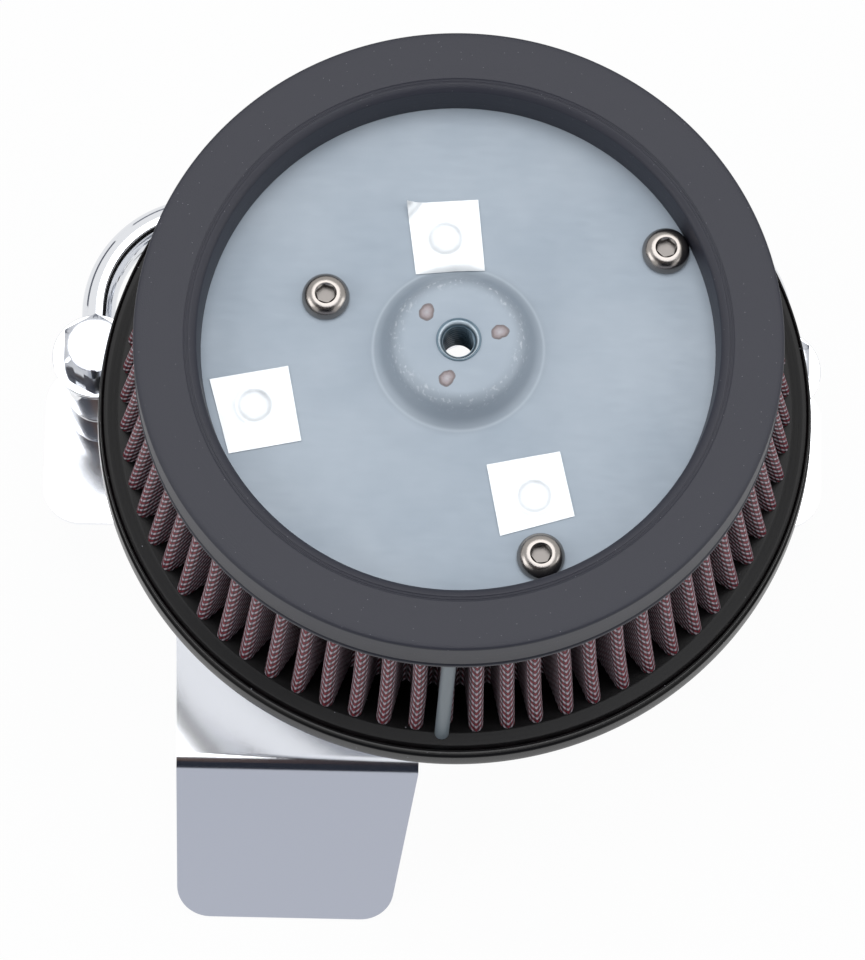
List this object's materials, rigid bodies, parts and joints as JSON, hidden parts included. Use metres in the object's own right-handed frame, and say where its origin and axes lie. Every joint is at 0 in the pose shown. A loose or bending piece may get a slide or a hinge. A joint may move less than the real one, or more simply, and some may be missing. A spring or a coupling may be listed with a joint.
{
  "type": "engine air cleaner",
  "caption": "Round pleated engine air cleaner on a chromed backing plate, with breather bolts, bent breather tubes and a bent sheet cover.",
  "frame": {"origin": "centre of the inlet bore at the flange face where the throttle body seats", "axes": "+Z along the inlet axis away from the throttle body, through the filter; +X along the line of the two breather bolts; +Y away from the bent flap"},
  "size_m": [0.1877, 0.1847, 0.1412],
  "materials": {
    "chromed_casting": "polished",
    "chromed_sheet": "polished",
    "chromed_steel": "polished",
    "stainless": "satin",
    "zinc_sheet": "satin",
    "zinc_nut": "satin",
    "urethane": "matte",
    "urethane_base": "satin",
    "media": "matte",
    "seam_bead": "satin",
    "foil_tape": "satin",
    "seal_rubber": "satin"
  },
  "bodies": {
    "root": {"backing_plate": "chromed_casting", "inlet_seal": "seal_rubber", "throttle_screw_1": "stainless", "throttle_screw_2": "stainless", "throttle_screw_3": "stainless", "lower_end_cap": "urethane_base", "upper_end_cap": "urethane", "pleated_media": "media", "seam_strip": "seam_bead", "top_plate": "zinc_sheet", "weld_nut": "zinc_nut", "tape_patch_1": "foil_tape", "tape_patch_2": "foil_tape", "tape_patch_3": "foil_tape", "filter_screw_1": "stainless", "filter_screw_2": "stainless", "filter_screw_3": "stainless", "breather_bolt_left": "chromed_steel", "bolt_washer_left": "chromed_steel", "breather_banjo_left": "chromed_steel", "tube_seal_left": "seal_rubber", "crush_ring_left": "seal_rubber", "spacer_left": "chromed_steel", "breather_bolt_right": "chromed_steel", "bolt_washer_right": "chromed_steel", "breather_banjo_right": "chromed_steel", "tube_seal_right": "seal_rubber", "crush_ring_right": "seal_rubber", "spacer_right": "chromed_steel", "servo_cover": "chromed_sheet"}
  },
  "joints": []
}
